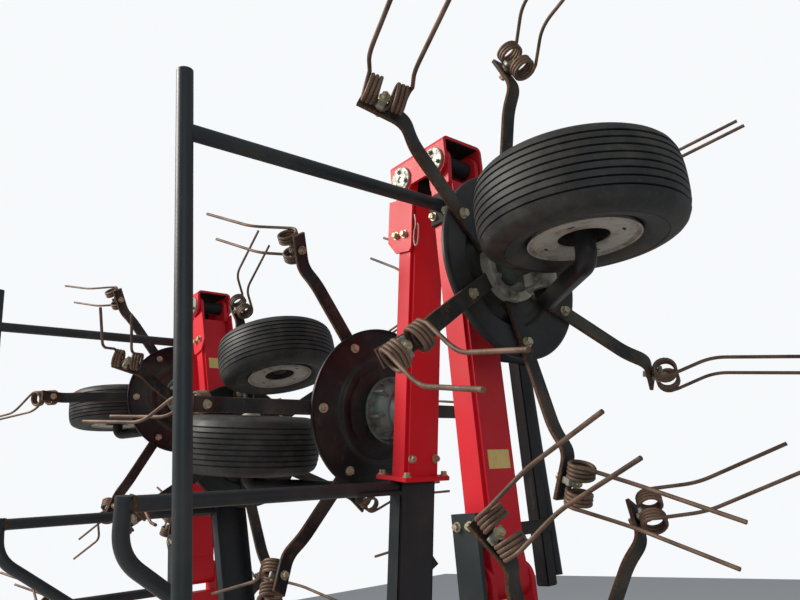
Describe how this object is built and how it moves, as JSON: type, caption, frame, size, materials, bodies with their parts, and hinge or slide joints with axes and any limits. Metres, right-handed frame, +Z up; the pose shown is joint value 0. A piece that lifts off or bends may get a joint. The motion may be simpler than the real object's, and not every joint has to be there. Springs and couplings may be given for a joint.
{
  "type": "folded mounted hay tedder",
  "caption": "Mounted hay tedder folded for the road: wings of tined rotors upright on a short centre frame, their outer sections turned down between them.",
  "frame": {"origin": "on the floor, in the middle of the footprint of hitch and rear foot", "axes": "+X to the right wing, -Y to the tractor, +Z up"},
  "size_m": [2.942, 1.65, 3.1971],
  "materials": {
    "frame_paint": "gloss, dusty",
    "disc_paint": "worn, with surface rust",
    "drive_casting": "painted grey, dirty",
    "guard_paint": "satin",
    "tine_steel": "rusty",
    "tyre_rubber": "dusty",
    "rim_paint": "dirty",
    "cylinder_paint": "satin",
    "bright_steel": "polished"
  },
  "bodies": {
    "frame": {"centre_frame": "frame_paint", "headstock": "frame_paint", "centre_drives": "drive_casting"},
    "input": {"input_shaft": "bright_steel"},
    "stand_front": {"front_stand": "guard_paint"},
    "stand_rear": {"rear_stand": "guard_paint"},
    "rotor_cr": {"disc_cr": "disc_paint", "tines_cr": "tine_steel"},
    "wheel_cr": {"tyre_cr": "tyre_rubber", "rim_cr": "rim_paint"},
    "inner_r": {"beam_r0": "frame_paint", "drive_r0": "drive_casting"},
    "rotor_r0": {"disc_r0": "disc_paint", "tines_r0": "tine_steel"},
    "wheel_r0": {"tyre_r0": "tyre_rubber", "rim_r0": "rim_paint"},
    "middle_r": {"beam_r1": "frame_paint", "drive_r1": "drive_casting", "guard_r1": "guard_paint"},
    "rotor_r1": {"disc_r1": "disc_paint", "tines_r1": "tine_steel"},
    "wheel_r1": {"tyre_r1": "tyre_rubber", "rim_r1": "rim_paint"},
    "outer_r": {"beam_r2": "frame_paint", "drive_r2": "drive_casting", "guard_r2": "guard_paint"},
    "rotor_r2": {"disc_r2": "disc_paint", "tines_r2": "tine_steel"},
    "wheel_r2": {"tyre_r2": "tyre_rubber", "rim_r2": "rim_paint"},
    "link_body_r": {"link_r": "frame_paint"},
    "barrel_body_r": {"barrel_r": "cylinder_paint"},
    "rod_body_r": {"rod_r": "bright_steel"},
    "rotor_cl": {"disc_cl": "disc_paint", "tines_cl": "tine_steel"},
    "wheel_cl": {"tyre_cl": "tyre_rubber", "rim_cl": "rim_paint"},
    "inner_l": {"beam_l0": "frame_paint", "drive_l0": "drive_casting"},
    "rotor_l0": {"disc_l0": "disc_paint", "tines_l0": "tine_steel"},
    "wheel_l0": {"tyre_l0": "tyre_rubber", "rim_l0": "rim_paint"},
    "middle_l": {"beam_l1": "frame_paint", "drive_l1": "drive_casting", "guard_l1": "guard_paint"},
    "rotor_l1": {"disc_l1": "disc_paint", "tines_l1": "tine_steel"},
    "wheel_l1": {"tyre_l1": "tyre_rubber", "rim_l1": "rim_paint"},
    "outer_l": {"beam_l2": "frame_paint", "drive_l2": "drive_casting", "guard_l2": "guard_paint"},
    "rotor_l2": {"disc_l2": "disc_paint", "tines_l2": "tine_steel"},
    "wheel_l2": {"tyre_l2": "tyre_rubber", "rim_l2": "rim_paint"},
    "link_body_l": {"link_l": "frame_paint"},
    "barrel_body_l": {"barrel_l": "cylinder_paint"},
    "rod_body_l": {"rod_l": "bright_steel"}
  },
  "joints": [
    {"name": "fold_r", "type": "hinge", "parent": "frame", "child": "inner_r", "pos_m": [0.8, 0.12, 0.671], "axis": [0, 1, 0], "range_deg": [0, 90]},
    {"name": "mid_r", "type": "hinge", "parent": "inner_r", "child": "middle_r", "pos_m": [0.8, 0.12, 1.776], "axis": [0, 1, 0], "range_deg": [0, 4]},
    {"name": "link_in_r", "type": "hinge", "parent": "middle_r", "child": "link_body_r", "pos_m": [0.8, 0.12, 2.831], "axis": [0, 1, 0], "range_deg": [0, 90]},
    {"name": "link_out_r", "type": "hinge", "parent": "link_body_r", "child": "outer_r", "pos_m": [0.67, 0.12, 2.831], "axis": [0, 1, 0], "range_deg": [0, 80]},
    {"name": "cylinder_r", "type": "hinge", "parent": "frame", "child": "barrel_body_r", "pos_m": [0.15, 0.12, 0.79], "axis": [0, 1, 0], "range_deg": [-0.01, 6.51]},
    {"name": "stroke_r", "type": "slide", "parent": "barrel_body_r", "child": "rod_body_r", "axis": [0.9934, 0, 0.1143], "range_m": [0, 0.297]},
    {"name": "spin_cr", "type": "hinge", "parent": "frame", "child": "rotor_cr", "pos_m": [0.525, 0.12, 0.545], "axis": [0, 0, 1], "continuous": true},
    {"name": "roll_cr", "type": "hinge", "parent": "frame", "child": "wheel_cr", "pos_m": [0.525, -0.04, 0.205], "axis": [1, 0, 0], "continuous": true},
    {"name": "spin_r0", "type": "hinge", "parent": "inner_r", "child": "rotor_r0", "pos_m": [0.926, 0.12, 1.446], "axis": [-1, 0, 0], "continuous": true},
    {"name": "roll_r0", "type": "hinge", "parent": "inner_r", "child": "wheel_r0", "pos_m": [1.266, -0.04, 1.446], "axis": [0, 0, 1], "continuous": true},
    {"name": "spin_r1", "type": "hinge", "parent": "middle_r", "child": "rotor_r1", "pos_m": [0.926, 0.12, 2.496], "axis": [-1, 0, 0], "continuous": true},
    {"name": "roll_r1", "type": "hinge", "parent": "middle_r", "child": "wheel_r1", "pos_m": [1.266, -0.04, 2.496], "axis": [0, 0, 1], "continuous": true},
    {"name": "spin_r2", "type": "hinge", "parent": "outer_r", "child": "rotor_r2", "pos_m": [0.43565, 0.12, 2.22753], "axis": [0.9848, 0, -0.1736], "continuous": true},
    {"name": "roll_r2", "type": "hinge", "parent": "outer_r", "child": "wheel_r2", "pos_m": [0.08119, -0.116, 2.17528], "axis": [-0.1736, 0, -0.9848], "continuous": true},
    {"name": "fold_l", "type": "hinge", "parent": "frame", "child": "inner_l", "pos_m": [-0.8, 0.12, 0.671], "axis": [0, -1, 0], "range_deg": [0, 90]},
    {"name": "mid_l", "type": "hinge", "parent": "inner_l", "child": "middle_l", "pos_m": [-0.8, 0.12, 1.776], "axis": [0, -1, 0], "range_deg": [0, 4]},
    {"name": "link_in_l", "type": "hinge", "parent": "middle_l", "child": "link_body_l", "pos_m": [-0.8, 0.12, 2.831], "axis": [0, -1, 0], "range_deg": [0, 90]},
    {"name": "link_out_l", "type": "hinge", "parent": "link_body_l", "child": "outer_l", "pos_m": [-0.67, 0.12, 2.831], "axis": [0, -1, 0], "range_deg": [0, 80]},
    {"name": "cylinder_l", "type": "hinge", "parent": "frame", "child": "barrel_body_l", "pos_m": [-0.15, 0.12, 0.79], "axis": [0, -1, 0], "range_deg": [-0.01, 6.51]},
    {"name": "stroke_l", "type": "slide", "parent": "barrel_body_l", "child": "rod_body_l", "axis": [-0.9934, 0, 0.1143], "range_m": [0, 0.297]},
    {"name": "spin_cl", "type": "hinge", "parent": "frame", "child": "rotor_cl", "pos_m": [-0.525, 0.12, 0.545], "axis": [0, 0, 1], "continuous": true},
    {"name": "roll_cl", "type": "hinge", "parent": "frame", "child": "wheel_cl", "pos_m": [-0.525, -0.04, 0.205], "axis": [-1, 0, 0], "continuous": true},
    {"name": "spin_l0", "type": "hinge", "parent": "inner_l", "child": "rotor_l0", "pos_m": [-0.926, 0.12, 1.446], "axis": [1, 0, 0], "continuous": true},
    {"name": "roll_l0", "type": "hinge", "parent": "inner_l", "child": "wheel_l0", "pos_m": [-1.266, -0.04, 1.446], "axis": [0, 0, 1], "continuous": true},
    {"name": "spin_l1", "type": "hinge", "parent": "middle_l", "child": "rotor_l1", "pos_m": [-0.926, 0.12, 2.496], "axis": [1, 0, 0], "continuous": true},
    {"name": "roll_l1", "type": "hinge", "parent": "middle_l", "child": "wheel_l1", "pos_m": [-1.266, -0.04, 2.496], "axis": [0, 0, 1], "continuous": true},
    {"name": "spin_l2", "type": "hinge", "parent": "outer_l", "child": "rotor_l2", "pos_m": [-0.43565, 0.12, 2.22753], "axis": [-0.9848, 0, -0.1736], "continuous": true},
    {"name": "roll_l2", "type": "hinge", "parent": "outer_l", "child": "wheel_l2", "pos_m": [-0.13954, 0.12, 2.50618], "axis": [0.1736, 0, -0.9848], "continuous": true},
    {"name": "input_spin", "type": "hinge", "parent": "frame", "child": "input", "pos_m": [0, -0.08, 0.671], "axis": [0, -1, 0], "continuous": true},
    {"name": "front_stand_lift", "type": "slide", "parent": "frame", "child": "stand_front", "axis": [0, 0, 1], "range_m": [0, 0.35]},
    {"name": "rear_stand_lift", "type": "slide", "parent": "frame", "child": "stand_rear", "axis": [0, 0, 1], "range_m": [0, 0.35]}
  ],
  "couplings": [
    {"joint": "link_in_r", "follows": "fold_r", "ratio": 1},
    {"joint": "link_out_r", "follows": "fold_r", "ratio": 0.88889},
    {"joint": "cylinder_r", "follows": "fold_r", "ratio": 0.072183},
    {"joint": "stroke_r", "follows": "fold_r", "m_per_rad": 0.18876},
    {"joint": "spin_r0", "follows": "spin_cr", "ratio": -1},
    {"joint": "spin_r1", "follows": "spin_cr", "ratio": 1},
    {"joint": "spin_r2", "follows": "spin_cr", "ratio": -1},
    {"joint": "fold_l", "follows": "fold_r", "ratio": 1},
    {"joint": "link_in_l", "follows": "fold_r", "ratio": 1},
    {"joint": "link_out_l", "follows": "fold_r", "ratio": 0.88889},
    {"joint": "cylinder_l", "follows": "fold_r", "ratio": 0.072183},
    {"joint": "stroke_l", "follows": "fold_r", "m_per_rad": 0.18876},
    {"joint": "spin_cl", "follows": "spin_cr", "ratio": -1},
    {"joint": "spin_l0", "follows": "spin_cr", "ratio": 1},
    {"joint": "spin_l1", "follows": "spin_cr", "ratio": -1},
    {"joint": "spin_l2", "follows": "spin_cr", "ratio": 1},
    {"joint": "input_spin", "follows": "spin_cr", "ratio": 3}
  ]
}
